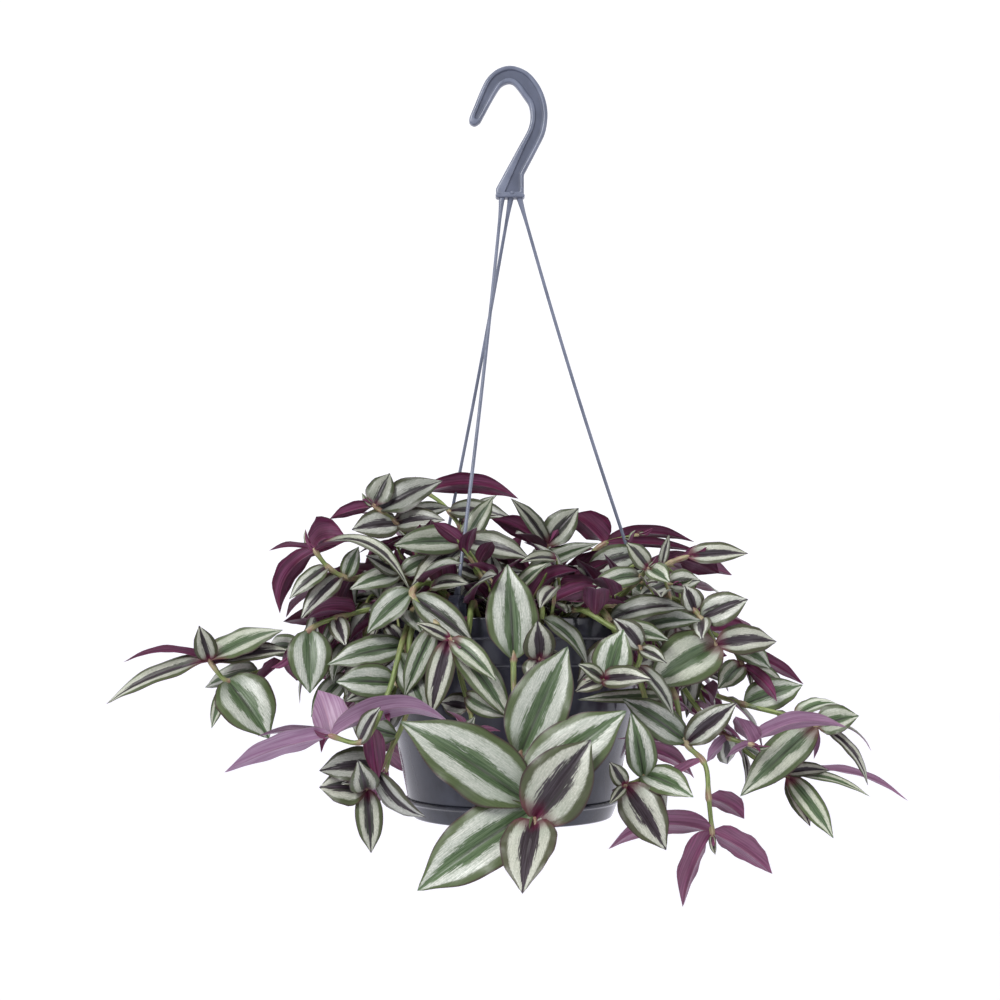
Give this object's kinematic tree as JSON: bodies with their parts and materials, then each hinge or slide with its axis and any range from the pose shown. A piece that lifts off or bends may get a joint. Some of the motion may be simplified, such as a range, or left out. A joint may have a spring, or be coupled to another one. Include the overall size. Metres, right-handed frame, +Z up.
{
  "type": "hanging potted tradescantia",
  "caption": "Hanging house plant: striped trailing tradescantia in a round plastic pot with a clip-on saucer and a one-piece hook hanger with three strands.",
  "frame": {"origin": "seat of the hook, the inner top of its crook, where it hangs on a rail", "axes": "+Z up; the front, the side the plant shows to the room, is -Y; the hook lies in the X-Z plane and opens to -X"},
  "size_m": [0.4, 0.3149, 0.443],
  "materials": {
    "hanger_plastic": "satin moulded plastic, slate grey",
    "pot_plastic": "satin moulded plastic, anthracite",
    "saucer_plastic": "satin moulded plastic, anthracite",
    "potting_soil": "loose peat mix, matt, dark brown",
    "foliage": "leaf blades striped silver and green above, purple beneath, with a soft sheen; pale green stems"
  },
  "bodies": {
    "root": {"hanger": "hanger_plastic", "pot": "pot_plastic", "saucer": "saucer_plastic", "soil": "potting_soil", "shoot_crown_1": "foliage", "shoot_crown_2": "foliage", "shoot_crown_3": "foliage", "shoot_crown_4": "foliage", "shoot_crown_back": "foliage", "shoot_crown_front": "foliage", "shoot_crown_left": "foliage", "shoot_crown_low": "foliage", "shoot_crown_low2": "foliage", "shoot_crown_mid": "foliage", "shoot_crown_right": "foliage", "shoot_far_left": "foliage", "shoot_far_right": "foliage", "shoot_far_right_low": "foliage", "shoot_front": "foliage", "shoot_front_deep": "foliage", "shoot_front_left": "foliage", "shoot_hanging_1": "foliage", "shoot_hanging_2": "foliage", "shoot_hanging_3": "foliage", "shoot_hanging_4": "foliage", "shoot_hanging_5": "foliage", "shoot_hanging_6": "foliage", "shoot_hanging_7": "foliage", "shoot_hanging_8": "foliage", "shoot_left_drop": "foliage", "shoot_left_high": "foliage", "shoot_left_low": "foliage", "shoot_left_mid": "foliage", "shoot_left_purple": "foliage", "shoot_mid_front": "foliage", "shoot_mid_low": "foliage", "shoot_mid_right": "foliage", "shoot_mid_round": "foliage", "shoot_right_front": "foliage", "shoot_right_high": "foliage", "shoot_right_low": "foliage", "shoot_right_low2": "foliage", "shoot_right_mid": "foliage", "shoot_right_mid2": "foliage", "shoot_right_purple": "foliage", "shoot_right_rim": "foliage", "shoot_spreading_1": "foliage", "shoot_spreading_2": "foliage", "shoot_spreading_3": "foliage", "shoot_spreading_4": "foliage", "shoot_spreading_5": "foliage", "shoot_spreading_6": "foliage", "shoot_spreading_7": "foliage"}
  },
  "joints": []
}
